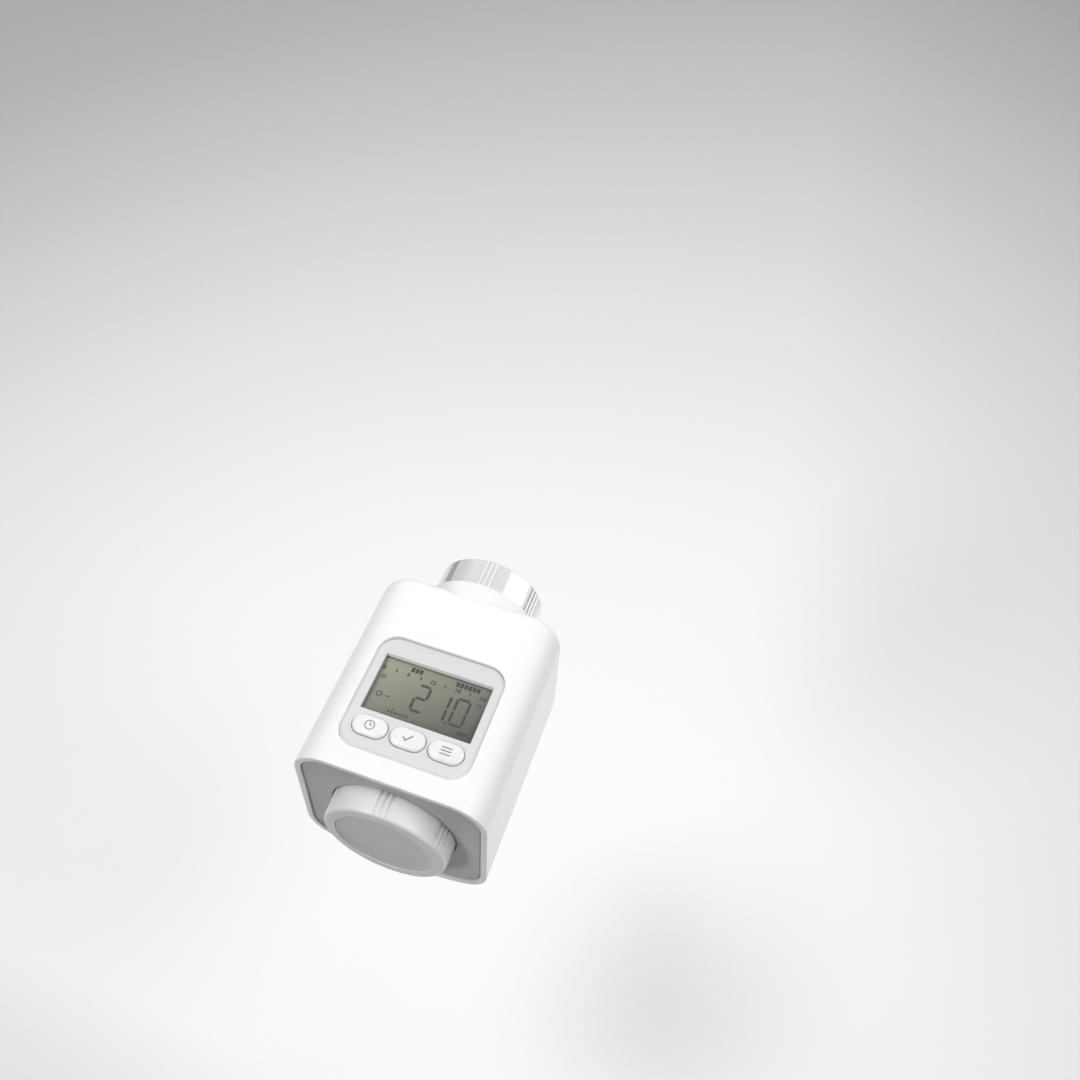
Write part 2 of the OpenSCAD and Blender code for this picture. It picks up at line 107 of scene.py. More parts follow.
def shader_group(name, inputs, outputs):
    tree = bpy.data.node_groups.new(name, "ShaderNodeTree")
    for label, value in inputs:
        tree.interface.new_socket(label, in_out="INPUT", socket_type="NodeSocketFloat").default_value = value
    for label in outputs:
        tree.interface.new_socket(label, in_out="OUTPUT", socket_type="NodeSocketFloat")
    return tree, tree.nodes.new("NodeGroupInput"), tree.nodes.new("NodeGroupOutput")


# Two sizes of noise in object space: broad tone drift, and the fine grain that a tool leaves
grain_group, grain_in, grain_out = shader_group("surface_grain",
                                                [("Broad", 30), ("Fine", 1500), ("Stretch", 1)],
                                                ["Tone", "Grain"])
place = grain_group.nodes.new("ShaderNodeTexCoord")
squeeze = grain_group.nodes.new("ShaderNodeCombineXYZ")
stretched = grain_group.nodes.new("ShaderNodeVectorMath")
stretched.operation = "MULTIPLY"
squeeze.inputs[0].default_value = squeeze.inputs[2].default_value = 1
link(grain_group, grain_in.outputs["Stretch"], squeeze.inputs[1])
link(grain_group, place.outputs["Object"], stretched.inputs[0])
link(grain_group, squeeze.outputs[0], stretched.inputs[1])
for size, out, octaves in (("Broad", "Tone", 3), ("Fine", "Grain", 2)):
    noise = grain_group.nodes.new("ShaderNodeTexNoise")
    noise.inputs["Detail"].default_value = octaves
    link(grain_group, stretched.outputs[0], noise.inputs["Vector"])
    link(grain_group, grain_in.outputs[size], noise.inputs["Scale"])
    link(grain_group, noise.outputs["Fac"], grain_out.inputs[out])


def add_finish(name, light, dark, rough, spread=0.06, broad=30, fine=1500, stretch=1, depth=0.004, metallic=0,
               coat=0, coat_rough=0.1):
    """A procedural finish: a tone between two colours, roughness round a value, and a bump depth in mm."""
    material = bpy.data.materials.new(name)
    material.use_nodes = True
    tree = material.node_tree
    shader = tree.nodes["Principled BSDF"]
    grain = tree.nodes.new("ShaderNodeGroup")
    grain.node_tree = grain_group
    for label, value in (("Broad", broad), ("Fine", fine), ("Stretch", stretch)):
        grain.inputs[label].default_value = value
    tone = tree.nodes.new("ShaderNodeMix")
    tone.data_type = "RGBA"
    tone.inputs[6].default_value = (*dark, 1)
    tone.inputs[7].default_value = (*light, 1)
    contrast = tree.nodes.new("ShaderNodeMapRange")
    contrast.inputs["From Min"].default_value = 0.3
    contrast.inputs["From Max"].default_value = 0.7
    link(tree, grain.outputs["Tone"], contrast.inputs["Value"])
    link(tree, contrast.outputs[0], tone.inputs[0])
    link(tree, tone.outputs[2], shader.inputs["Base Color"])
    sheen = tree.nodes.new("ShaderNodeMapRange")
    sheen.inputs["From Min"].default_value = 0.3
    sheen.inputs["From Max"].default_value = 0.7
    sheen.inputs["To Min"].default_value = max(rough - spread, 0.02)
    sheen.inputs["To Max"].default_value = rough + spread
    link(tree, grain.outputs["Grain"], sheen.inputs["Value"])
    link(tree, sheen.outputs[0], shader.inputs["Roughness"])
    bump = tree.nodes.new("ShaderNodeBump")
    bump.inputs["Strength"].default_value = 1
    bump.inputs["Distance"].default_value = depth * 0.001
    link(tree, grain.outputs["Grain"], bump.inputs["Height"])
    link(tree, bump.outputs["Normal"], shader.inputs["Normal"])
    shader.inputs["Metallic"].default_value = metallic
    shader.inputs["Coat Weight"].default_value = coat
    shader.inputs["Coat Roughness"].default_value = coat_rough
    return material


def fade_to(material, direction, start, end, colour):
    """Paints a finish towards another colour along a direction, between two distances in object space
    (painted light and shade).
    """
    tree = material.node_tree
    spot = tree.nodes.new("ShaderNodeTexCoord")
    along = tree.nodes.new("ShaderNodeVectorMath")
    along.operation = "DOT_PRODUCT"
    along.inputs[1].default_value = direction
    link(tree, spot.outputs["Object"], along.inputs[0])
    ramp = tree.nodes.new("ShaderNodeMapRange")
    ramp.inputs["From Min"].default_value = start
    ramp.inputs["From Max"].default_value = end
    link(tree, along.outputs["Value"], ramp.inputs["Value"])
    mixed = tree.nodes.new("ShaderNodeMix")
    mixed.data_type = "RGBA"
    mixed.inputs[7].default_value = (*colour, 1)
    paint = tree.nodes["Principled BSDF"].inputs["Base Color"]
    link(tree, paint.links[0].from_socket, mixed.inputs[6])
    link(tree, ramp.outputs[0], mixed.inputs[0])
    link(tree, mixed.outputs[2], paint)


floor_mesh = bpy.data.meshes.new("floor")
floor_corners = [(x * FLOOR_REACH, y * FLOOR_REACH, FLOOR_Z) for x, y in ((-1, -1), (1, -1), (1, 1), (-1, 1))]
floor_mesh.from_pydata(floor_corners, [], [(0, 1, 2, 3)])
pale_floor = add_finish("pale_floor", (0.93, 0.93, 0.92), (0.92, 0.92, 0.91), 0.7, broad=2, fine=40)
# Painted shade: the floor's colour darkens towards the viewer and greys to the right, standing in for dimmer
# light there
fade_to(pale_floor, (0, -1, 0), 0.12, 0.38, (0.24, 0.24, 0.24))
fade_to(pale_floor, (1, 0.1, 0), 0.12, 0.5, (0.66, 0.67, 0.69))
floor_mesh.materials.append(pale_floor)
floor = bpy.data.objects.new("floor", floor_mesh)
bpy.context.scene.collection.objects.link(floor)

# ---- Housing: one deep white shell ----
# The real shell is injection moulded in white ABS, 2 mm thick, open at the front rim, with a cut-out for
# the display panel on top and one for the battery door in the bulged underside. A collar carries the nut.
MM = 0.001
TOP_Z, LOW_Z, SIDE_X = 21.5, -36.8, 30.0
TOP_R, LOW_R, BELLY_R = 11.4, 11.5, 63.0
RIM_Y, REAR_Y, REAR_R = -85.5, -16.5, 4.0
TOP_C = (SIDE_X - TOP_R, TOP_Z - TOP_R)
BELLY_C = LOW_Z + BELLY_R
LOW_C = (SIDE_X - LOW_R, BELLY_C - sqrt((BELLY_R - LOW_R) ** 2 - (SIDE_X - LOW_R) ** 2))
LOW_END = atan2(BELLY_C - LOW_C[1], LOW_C[0])
PANEL = (-20.4, 20.4, -78.3, -39.45, 6.5)
DOOR = (-19.0, 19.0, -78.6, -23.0, 3.0)


def spread_between(a, b, count):
    return [a + (b - a) * i / count for i in range(count + 1)]


def belly_z(x):
    return BELLY_C - sqrt(BELLY_R ** 2 - x * x)


def lid_z(x):
    over = abs(x) - TOP_C[0]
    return TOP_Z if over <= 0 else TOP_C[1] + sqrt(TOP_R ** 2 - over * over)


def side_section(inset, first=90):
    """Points (x, z) down the +X side, from the top round at angle first to where the belly starts."""
    top = [(TOP_C[0] + (TOP_R - inset) * cos(radians(a)), TOP_C[1] + (TOP_R - inset) * sin(radians(a)))
           for a in spread_between(first, 0, round(first / 6))]
    flat = [(SIDE_X - inset, z) for z in spread_between(TOP_C[1], LOW_C[1], 16)[1:-1]]
    low = [(LOW_C[0] + (LOW_R - inset) * cos(a), LOW_C[1] - (LOW_R - inset) * sin(a))
           for a in spread_between(0, LOW_END, 12)]
    return top + flat + low


def section_ring(inset, xs_top, xs_low):
    """The whole cross-section (x, z), clockwise seen from the front, moved inwards by inset."""
    def top_point(x):
        z = lid_z(x)
        over = abs(x) - TOP_C[0]
        if over <= 0:
            return (x, z - inset)
        return (x - inset * over / TOP_R * (1 if x > 0 else -1), z - inset * (z - TOP_C[1]) / TOP_R)

    def low_point(x):
        z = belly_z(x)
        return (x * (BELLY_R - inset) / BELLY_R, BELLY_C - (BELLY_C - z) * (BELLY_R - inset) / BELLY_R)

    right = side_section(inset, 60)
    return ([top_point(x) for x in xs_top[:-1]] + right + [low_point(x) for x in reversed(xs_low[1:-1])]
            + [(-x, z) for x, z in reversed(right)])


def build_mesh(name, points, faces):
    mesh = bpy.data.meshes.new(name)
    mesh.from_pydata([[c * MM for c in p] for p in points], [], faces)
    piece = bpy.data.objects.new(name, mesh)
    bpy.context.scene.collection.objects.link(piece)
    return piece


def close_up(piece, outward=True):
    """Merges doubled points, drops empty faces and turns every face outwards."""
    work = bmesh.new()
    work.from_mesh(piece.data)
    bmesh.ops.remove_doubles(work, verts=work.verts, dist=2e-7)
    bmesh.ops.dissolve_degenerate(work, edges=work.edges, dist=1e-7)
    if outward:
        bmesh.ops.recalc_face_normals(work, faces=work.faces)
    work.to_mesh(piece.data)
    work.free()


def bake_modifiers(piece):
    bpy.context.view_layer.update()
    shaped = bpy.data.meshes.new_from_object(piece.evaluated_get(bpy.context.evaluated_depsgraph_get()))
    shaped.name = piece.name
    piece.modifiers.clear()
    piece.data = shaped


def smooth_over(piece, wall=0, edge=0, limit=35, segments=3):
    """Gives a skin its wall, rounds its sharp edges, and shades flats flat and rounds round."""
    piece.data.polygons.foreach_set("use_smooth", [True] * len(piece.data.polygons))
    if wall:
        thick = piece.modifiers.new("wall", "SOLIDIFY")
        thick.thickness = wall * MM
        thick.offset = -1
        thick.use_even_offset = True
    if edge:
        bevel = piece.modifiers.new("edges", "BEVEL")
        bevel.width = edge * MM
        bevel.segments = segments
        bevel.angle_limit = radians(limit)
        bevel.use_clamp_overlap = True
    shade = piece.modifiers.new("shade", "WEIGHTED_NORMAL")
    shade.weight = 60
    bake_modifiers(piece)


def fit(piece, material, body, slot, *nodes):
    piece.data.materials.clear()
    piece.data.materials.append(material)
    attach(piece, body)
    if nodes:
        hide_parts(*nodes)
    return piece


def nearest_on(opening, p):
    x0, x1, y0, y1, r = opening
    c = (min(max(p[0], x0 + r), x1 - r), min(max(p[1], y0 + r), y1 - r))
    away = (p[0] - c[0], p[1] - c[1])
    far = hypot(*away)
    return (c[0] + r * away[0] / far, c[1] + r * away[1] / far)


def cut_patch(xs, ys, opening, height):
    """Skin over a rectangle with a rounded opening, as rings from the opening to its border."""
    border = ([(x, ys[0]) for x in xs[:-1]] + [(xs[-1], y) for y in ys[:-1]]
              + [(x, ys[-1]) for x in reversed(xs[1:])] + [(xs[0], y) for y in reversed(ys[1:])])
    points, faces = [], []
    count = len(border)
    for ring, (near, share) in enumerate([(0, 0), (0.5, 0), (1.1, 0)] + [(1.1, s / 7) for s in range(1, 8)]):
        for p in border:
            h = nearest_on(opening, p)
            d = hypot(p[0] - h[0], p[1] - h[1])
            t = near / d + (1 - near / d) * share
            x, y = h[0] + (p[0] - h[0]) * t, h[1] + (p[1] - h[1]) * t
            points.append((x, y, height(x)))
        if ring:
            for j in range(count):
                k = (j + 1) % count
                near_ring, far_ring = (ring - 1) * count, ring * count
                faces.append((near_ring + j, far_ring + j, far_ring + k, near_ring + k))
    return points, faces


def loft(rings, first=0, closed=True):
    """Faces between rings of equal length whose points are numbered from first."""
    n = rings[1]
    steps = n if closed else n - 1
    return [(first + i * n + j, first + i * n + (j + 1) % n,
             first + (i + 1) * n + (j + 1) % n, first + (i + 1) * n + j)
            for i in range(rings[0] - 1) for j in range(steps)]


ys = spread_between(RIM_Y, REAR_Y - REAR_R, 52)
top_edge_x = TOP_C[0] + TOP_R * cos(radians(60))
low_edge_x = BELLY_R * cos(LOW_END)
xs_top = spread_between(-top_edge_x, top_edge_x, 40)
xs_low = spread_between(-low_edge_x, low_edge_x, 36)
shell_points, shell_faces = cut_patch(xs_top, ys, PANEL, lid_z)


def add_part(points, faces, more_points, more_faces):
    faces += [tuple(i + len(points) for i in f) for f in more_faces]
    points += more_points


add_part(shell_points, shell_faces, *cut_patch(xs_low, ys, DOOR, belly_z))
for way in (1, -1):
    strip = side_section(0, 60)
    add_part(shell_points, shell_faces, [(way * x, y, z) for y in ys for x, z in strip],
             loft((len(ys), len(strip)), closed=False))
rear_rings = [(REAR_R * (1 - cos(a)), REAR_Y - REAR_R * (1 - sin(a))) for a in spread_between(0, pi / 2, 8)]
rear = [(x, y, z) for inset, y in rear_rings for x, z in section_ring(inset, xs_top, xs_low)]
flat_ring = section_ring(REAR_R, xs_top, xs_low)
for share in (0.3, 0.65, 1):
    for x, z in flat_ring:
        away = 16 / hypot(x, z)
        rear.append((x + (x * away - x) * share, REAR_Y, z + (z * away - z) * share))
add_part(shell_points, shell_faces, rear, loft((len(rear_rings) + 3, len(flat_ring))))
shell = build_mesh("white_housing", shell_points, shell_faces)
close_up(shell)
lid_face = max(shell.data.polygons, key=lambda f: f.center.z)
if lid_face.normal.z < 0:
    shell.data.flip_normals()
smooth_over(shell, wall=2, edge=0.35, limit=50)
white_abs = add_finish("white_abs", (0.86, 0.86, 0.85), (0.83, 0.83, 0.82), 0.3, spread=0.05, broad=18,
                       fine=2600,
                       depth=0.0025, coat=0.25, coat_rough=0.18)
fit(shell, white_abs, "head", "white_abs", "housing_shell")


def soften(profile, r, ring=False):
    """Rounds the corners of a profile of (radius, y) points."""
    out = []
    for i, p in enumerate(profile):
        if not ring and i in (0, len(profile) - 1):
            out.append(p)
            continue
        a, b = profile[i - 1], profile[(i + 1) % len(profile)]
        la, lb = hypot(a[0] - p[0], a[1] - p[1]), hypot(b[0] - p[0], b[1] - p[1])
        ka, kb = min(r, la * 0.45) / la, min(r, lb * 0.45) / lb
        for t in (0, 0.25, 0.5, 0.75, 1):
            wa, wb = (1 - t) ** 2 * ka, t ** 2 * kb
            out.append((p[0] + (a[0] - p[0]) * wa + (b[0] - p[0]) * wb,
                        p[1] + (a[1] - p[1]) * wa + (b[1] - p[1]) * wb))
    return out


def turned(name, profile, turns, axis=(0, 0), ring=False, shape=None):
    """A turned piece about Y. turns is a count or a list of angles, and shape may change a radius."""
    angles = [2 * pi * i / turns for i in range(turns)] if isinstance(turns, int) else turns
    rows = profile + profile[:1] if ring else profile
    points = []
    for r, y in rows:
        for a in angles:
            reach = shape(r, y, a) if shape else r
            points.append((axis[0] + reach * cos(a), y, axis[1] + reach * sin(a)))
    piece = build_mesh(name, points, loft((len(rows), len(angles))))
    close_up(piece)
    return piece


neck = turned("neck_collar", soften([(17, -21), (21.4, -21), (21.4, -19.5), (19.2, -11.2), (18.8, -10.8),
                                     (18, -10.8),
              (18, -12.8), (14.1, -12.8), (14.1, -14.8), (17, -14.8)], 0.3, ring=True), 144, ring=True)
smooth_over(neck)
fit(neck, white_abs, "head", "white_abs")

# ---- End plate with the wheel's cup ----
# A light grey ABS plate snaps into the front rim. Its face is dished a little towards the round cup,
# and a bush in the cup's floor carries the wheel's shaft.
WHEEL_Z, CUP_R, CUP_Y = -6.4, 20.15, -80.9
plate_ring = section_ring(2.35, xs_top, xs_low)
plate_points = []


def dish_y(r):
    return -84.9 + 0.5 * min(max((28 - r) / (28 - CUP_R), 0), 1)


plate_steps = [0, 0.05, 0.2, 0.4, 0.6, 0.8, 0.93, 1]
for share in plate_steps:
    for x, z in plate_ring:
        r = hypot(x, z - WHEEL_Z)
        k = 1 + (CUP_R / r - 1) * share
        plate_points.append((x * k, dish_y(r * k), WHEEL_Z + (z - WHEEL_Z) * k))
cup_rows = [(CUP_R, y) for y in (-83.8, -82.5, CUP_Y)] + [(r, CUP_Y) for r in (16, 12, 8, 5, 3.1)] + [(3.1,
                                                                                                       -78)]
for r, y in cup_rows:
    for x, z in plate_ring:
        k = r / hypot(x, z - WHEEL_Z)
        plate_points.append((x * k, y, WHEEL_Z + (z - WHEEL_Z) * k))
plate = build_mesh("end_plate_cup", plate_points, loft((len(plate_steps) + len(cup_rows), len(plate_ring))))
close_up(plate)
if min(plate.data.polygons, key=lambda f: f.center.y).normal.y > 0:
    plate.data.flip_normals()
smooth_over(plate, wall=1.4, edge=0.25)
plate_grey = add_finish("plate_grey", (0.51, 0.51, 0.5), (0.485, 0.485, 0.475), 0.42, broad=22, fine=2200,
                        depth=0.004)
fit(plate, plate_grey, "head", "plate_grey", "end_plate")

# ---- Setting wheel ----
# The wheel is moulded in light grey ABS with its shaft. Six groups of three finger grooves run back from
# its rounded front edge, and a dished darker disc is pressed into the front.
WHEEL_R, WHEEL_Y = 19.8, -92.1
GROOVE_GROUPS, GROOVE_STEP = 6, 5.4


def groove_columns(first, half, between):
    """Angles for a grooved wall: close together across each groove, wide apart between the groups."""
    across = [s * half for s in (-1.12, -1, -0.92, -0.78, -0.58, -0.32, 0, 0.32, 0.58, 0.78, 0.92, 1, 1.12)]
    angles = []
    apart = 360 / GROOVE_GROUPS
    for group in range(GROOVE_GROUPS):
        middle = first + apart * group
        angles += [middle + GROOVE_STEP * k + a for k in (-1, 0, 1) for a in across]
        start = middle + GROOVE_STEP + across[-1]
        end = middle + apart - GROOVE_STEP + across[0]
        angles += spread_between(start, end, between)[1:-1]
    return [radians(a) for a in angles]


def maths(tree, operation, a, b=None, c=None):
    node = tree.nodes.new("ShaderNodeMath")
    node.operation = operation
    for socket, value in zip(node.inputs, (a, b, c)):
        if value is None:
            continue
        if isinstance(value, (int, float)):
            socket.default_value = value
        else:
            link(tree, value, socket)
    return node.outputs[0]


# Geometry Nodes: cuts groups of three round-bottomed grooves into the outer wall of a turned piece
groove_tree = bpy.data.node_groups.new("finger_grooves", "GeometryNodeTree")
groove_sockets = {}
for label, kind, value in (("Geometry", "Geometry", None), ("Axis Height", "Float", 0), ("First", "Float", 0),
                           ("Step", "Float", 0), ("Cutter Radius", "Float", 0), ("Cutter Axis", "Float", 0),
                           ("Depth Ratio", "Float", 1),
                           ("Front End", "Float", 0), ("Finish", "Material", None)):
    socket = groove_tree.interface.new_socket(label, in_out="INPUT", socket_type="NodeSocket" + kind)
    groove_sockets[label] = socket.identifier
groove_tree.interface.new_socket("Geometry", in_out="OUTPUT", socket_type="NodeSocketGeometry")
g_in = groove_tree.nodes.new("NodeGroupInput").outputs
g_out = groove_tree.nodes.new("NodeGroupOutput").inputs
where = groove_tree.nodes.new("ShaderNodeSeparateXYZ")
link(groove_tree, groove_tree.nodes.new("GeometryNodeInputPosition").outputs[0], where.inputs[0])
rise = maths(groove_tree, "SUBTRACT", where.outputs[2], g_in["Axis Height"])
reach = maths(groove_tree, "SQRT", maths(groove_tree, "ADD", maths(groove_tree, "MULTIPLY", rise, rise),
              maths(groove_tree, "MULTIPLY", where.outputs[0], where.outputs[0])))
turn = maths(groove_tree, "SUBTRACT", maths(groove_tree, "ARCTAN2", rise, where.outputs[0]), g_in["First"])
group_turn = 2 * pi / GROOVE_GROUPS
whole = maths(groove_tree, "ROUND", maths(groove_tree, "DIVIDE", turn, group_turn))
in_group = maths(groove_tree, "SUBTRACT", turn, maths(groove_tree, "MULTIPLY", whole, group_turn))
nearest = maths(groove_tree, "ROUND", maths(groove_tree, "DIVIDE", in_group, g_in["Step"]))
nearest = maths(groove_tree, "MINIMUM", maths(groove_tree, "MAXIMUM", nearest, -1), 1)
off_turn = maths(groove_tree, "SUBTRACT", in_group, maths(groove_tree, "MULTIPLY", nearest, g_in["Step"]))
across = maths(groove_tree, "MULTIPLY", off_turn, reach)
beyond = maths(groove_tree, "MAXIMUM", maths(groove_tree, "SUBTRACT", g_in["Front End"], where.outputs[1]), 0)
off_two = maths(groove_tree, "ADD", maths(groove_tree, "MULTIPLY", across, across),
                maths(groove_tree, "MULTIPLY", beyond, beyond))
left_over = maths(groove_tree, "SUBTRACT", maths(groove_tree, "MULTIPLY", g_in["Cutter Radius"],
                  g_in["Cutter Radius"]), off_two)
bite = maths(groove_tree, "SQRT", maths(groove_tree, "MAXIMUM", left_over, 0))
floor_reach = maths(groove_tree, "SUBTRACT", g_in["Cutter Axis"],
                    maths(groove_tree, "MULTIPLY", bite, g_in["Depth Ratio"]))
sunk = maths(groove_tree, "MINIMUM", maths(groove_tree, "SUBTRACT", floor_reach, reach), 0)
facing = groove_tree.nodes.new("ShaderNodeSeparateXYZ")
link(groove_tree, groove_tree.nodes.new("GeometryNodeInputNormal").outputs[0], facing.inputs[0])
outward = maths(groove_tree, "DIVIDE", maths(groove_tree, "ADD",
                maths(groove_tree, "MULTIPLY", facing.outputs[0], where.outputs[0]),
                maths(groove_tree, "MULTIPLY", facing.outputs[2], rise)), reach)
on_wall = maths(groove_tree, "GREATER_THAN", outward, 0.25)
move = groove_tree.nodes.new("ShaderNodeCombineXYZ")
link(groove_tree, maths(groove_tree, "MULTIPLY", maths(groove_tree, "DIVIDE", where.outputs[0], reach), sunk),
     move.inputs[0])
link(groove_tree, maths(groove_tree, "MULTIPLY", maths(groove_tree, "DIVIDE", rise, reach), sunk),
     move.inputs[2])
pushed = groove_tree.nodes.new("GeometryNodeSetPosition")
link(groove_tree, g_in["Geometry"], pushed.inputs["Geometry"])
link(groove_tree, on_wall, pushed.inputs["Selection"])
link(groove_tree, move.outputs[0], pushed.inputs["Offset"])
real = groove_tree.nodes.new("GeometryNodeRealizeInstances")
link(groove_tree, pushed.outputs[0], real.inputs[0])
coloured = groove_tree.nodes.new("GeometryNodeSetMaterial")
link(groove_tree, real.outputs[0], coloured.inputs["Geometry"])
link(groove_tree, g_in["Finish"], coloured.inputs["Material"])
link(groove_tree, coloured.outputs[0], g_out["Geometry"])


def run_nodes(piece, tree, sockets, values):
    step = piece.modifiers.new("nodes", "NODES")
    step.node_group = tree
    for label, value in values.items():
        step[sockets[label]] = value
    bake_modifiers(piece)


wheel_profile = soften([(0, -90.5), (15.6, -90.5), (15.6, WHEEL_Y), (17.2, WHEEL_Y)], 0.2)[:-1]
wheel_profile += [(18.2 + 1.3 * sin(a), WHEEL_Y + 1.3 * (1 - cos(a))) for a in spread_between(0, pi / 2, 14)]
wheel_profile += [(19.5 + 0.3 * t, -90.8 + 8.4 * t) for t in (0.03, 0.06, 0.1, 0.25, 0.5, 0.75, 0.97)]
wheel_profile += soften([(19.8, -82.5), (19.75, -82.4), (17.6, -82.4), (17.6, -88.5), (3, -88.5), (3, -77.8),
                         (2.4, -77.8), (2.4, -77), (3, -77), (3, -71.9), (0, -71.9)], 0.15)[1:]
wheel = turned("setting_wheel", wheel_profile, groove_columns(90, 1.85, 14), axis=(0, WHEEL_Z))
wheel_grey = add_finish("wheel_grey", (0.8, 0.8, 0.79), (0.77, 0.77, 0.76), 0.36, broad=25, fine=2400,
                        depth=0.003)
run_nodes(wheel, groove_tree, groove_sockets, {
    "Axis Height": WHEEL_Z * MM, "First": pi / 2, "Step": radians(GROOVE_STEP), "Cutter Radius": 0.66 * MM,
    "Cutter Axis": WHEEL_R * MM, "Depth Ratio": 1.5, "Front End": -90.9 * MM, "Finish": wheel_grey})
smooth_over(wheel)
fit(wheel, wheel_grey, "knob", "wheel_grey", "adjusting_knob")

disc_profile = [(15.5 * i / 40, -91.85 + 0.8 * (1 - (i / 40) ** 9)) for i in range(40)]
disc_profile += soften([(15.2, -91.72), (15.5, -91.85), (15.5, -90.55), (0, -90.55)], 0.2)[1:]
disc = turned("wheel_disc", disc_profile, 144, axis=(0, WHEEL_Z))
smooth_over(disc)
disc_grey = add_finish("disc_grey", (0.67, 0.67, 0.66), (0.64, 0.64, 0.63), 0.38, broad=25, fine=2400,
                       depth=0.003)
fit(disc, disc_grey, "knob", "disc_grey", "knob_disc")

# ---- Display panel ----
# A light grey moulded fascia is screwed up from the board's side into the panel opening. It frames the
# window and has three pill-shaped openings for the keys.
PANEL_Z = 20.35
WINDOW = (-17.2, 17.2, -65.3, -45.6)
KEY_Y, KEY_W, KEY_D = -70.35, 10.8, 6.5
KEY_XS = {"clock": -11.8, "confirm": 0.0, "menu": 11.8}


def rounded_loop(x0, x1, y0, y1, r, steps=10):
    corners = [(x1 - r, y1 - r, 0), (x0 + r, y1 - r, 90), (x0 + r, y0 + r, 180), (x1 - r, y0 + r, 270)]
    return [(cx + r * cos(radians(a0 + 90 * i / steps)), cy + r * sin(radians(a0 + 90 * i / steps)))
            for cx, cy, a0 in corners for i in range(steps + 1)]


def pill_loop(x, y, w, d, steps=12):
    return rounded_loop(x - w / 2, x + w / 2, y - d / 2, y + d / 2, d / 2 - 0.001, steps)


def plate_with_holes(name, loops, z0, z1, edge):
    """A flat plate from closed outlines, the first one outside, with all its edges rounded."""
    curve = bpy.data.curves.new(name, "CURVE")
    curve.dimensions = "2D"
    curve.fill_mode = "BOTH"
    for loop in loops:
        spline = curve.splines.new("POLY")
        spline.points.add(len(loop) - 1)
        for point, (x, y) in zip(spline.points, loop):
            point.co = (x * MM, y * MM, 0, 1)
        spline.use_cyclic_u = True
    curve.extrude = ((z1 - z0) / 2 - edge) * MM
    curve.bevel_depth = edge * MM
    curve.bevel_resolution = 2
    curve.offset = -edge * MM
    flat = bpy.data.objects.new(name, curve)
    bpy.context.scene.collection.objects.link(flat)
    bpy.context.view_layer.update()
    mesh = bpy.data.meshes.new_from_object(flat.evaluated_get(bpy.context.evaluated_depsgraph_get()))
    mesh.transform(Matrix.Translation((0, 0, (z0 + z1) / 2 * MM)))
    bpy.data.objects.remove(flat)
    piece = bpy.data.objects.new(name, mesh)
    bpy.context.scene.collection.objects.link(piece)
    close_up(piece)
    return piece


def join(name, pieces):
    mesh = bpy.data.meshes.new(name)
    work = bmesh.new()
    for piece in pieces:
        work.from_mesh(piece.data)
    work.to_mesh(mesh)
    work.free()
    for piece in pieces:
        bpy.data.objects.remove(piece)
    whole = bpy.data.objects.new(name, mesh)
    bpy.context.scene.collection.objects.link(whole)
    return whole


def post(name, x, y, r, z0, z1, bore=0):
    """A round boss standing along Z, with a small edge round."""
    profile = soften([(bore, z0), (r, z0), (r, z1), (bore, z1)], 0.2, ring=bool(bore))
    piece = turned(name, profile, 32, ring=bool(bore))
    piece.data.transform(Matrix.Translation((x * MM, y * MM, 0)) @ Matrix.Rotation(radians(90), 4, "X"))
    return piece


key_holes = [pill_loop(x, KEY_Y, KEY_W + 0.3, KEY_D + 0.3) for x in KEY_XS.values()]
fascia_parts = [
    plate_with_holes("face", [rounded_loop(-20.28, 20.28, -78.18, -39.57, 6.4, 16),
                     rounded_loop(*WINDOW, 0.25, 3)] + key_holes, PANEL_Z - 1.19, PANEL_Z, 0.16),
    plate_with_holes("back", [rounded_loop(-20.2, 20.2, -78.1, -39.65, 6.3, 16),
                     rounded_loop(-18.9, 18.9, -66.2, -44.3, 0.5,
                                  3)] + key_holes, PANEL_Z - 2.3, PANEL_Z - 1.2, 0.1)]
for x in (-18, 18):
    for y in (-77, -41.2):
        fascia_parts.append(post("boss", x, y, 2, 12.9, 18.2, 0.9))
# The window's rear wall leans back towards the display by the draft of the mould
REAR_WALL_DRAFT = 0.4
for corner in fascia_parts[0].data.vertices:
    low_down = corner.co.z < (PANEL_Z - 0.8) * MM
    on_rear_wall = abs(corner.co.y - WINDOW[3] * MM) < 0.5 * MM and abs(corner.co.x) < 17.5 * MM
    if low_down and on_rear_wall:
        corner.co.y -= REAR_WALL_DRAFT * MM
fascia = join("display_fascia", fascia_parts)
close_up(fascia)
smooth_over(fascia)
fascia_grey = add_finish("fascia_grey", (0.66, 0.66, 0.66), (0.635, 0.635, 0.635), 0.4, broad=40, fine=3000,
                         depth=0.003)
fit(fascia, fascia_grey, "head", "fascia_grey", "fascia_panel")

# ---- Window and liquid crystal cell ----
# A clear acrylic pane sits in the fascia's rebate. Below it lies the glass cell on its silvery green
# reflector, with the dark marks for the hours of the day, the temperature and the small signs.
pane = plate_with_holes("clear_window", [rounded_loop(-18.6, 18.6, -66, -44.5, 0.4, 3)], 18.61, 19.12, 0.06)
smooth_over(pane)
window_clear = add_finish("window_clear", (0.95, 0.97, 0.96), (0.92, 0.95, 0.94), 0.07, spread=0.03, broad=60,
                          fine=900, depth=0.0003)
window_clear.node_tree.nodes["Principled BSDF"].inputs["Alpha"].default_value = 0.03
fit(pane, window_clear, "head", "window_clear", "display_window")

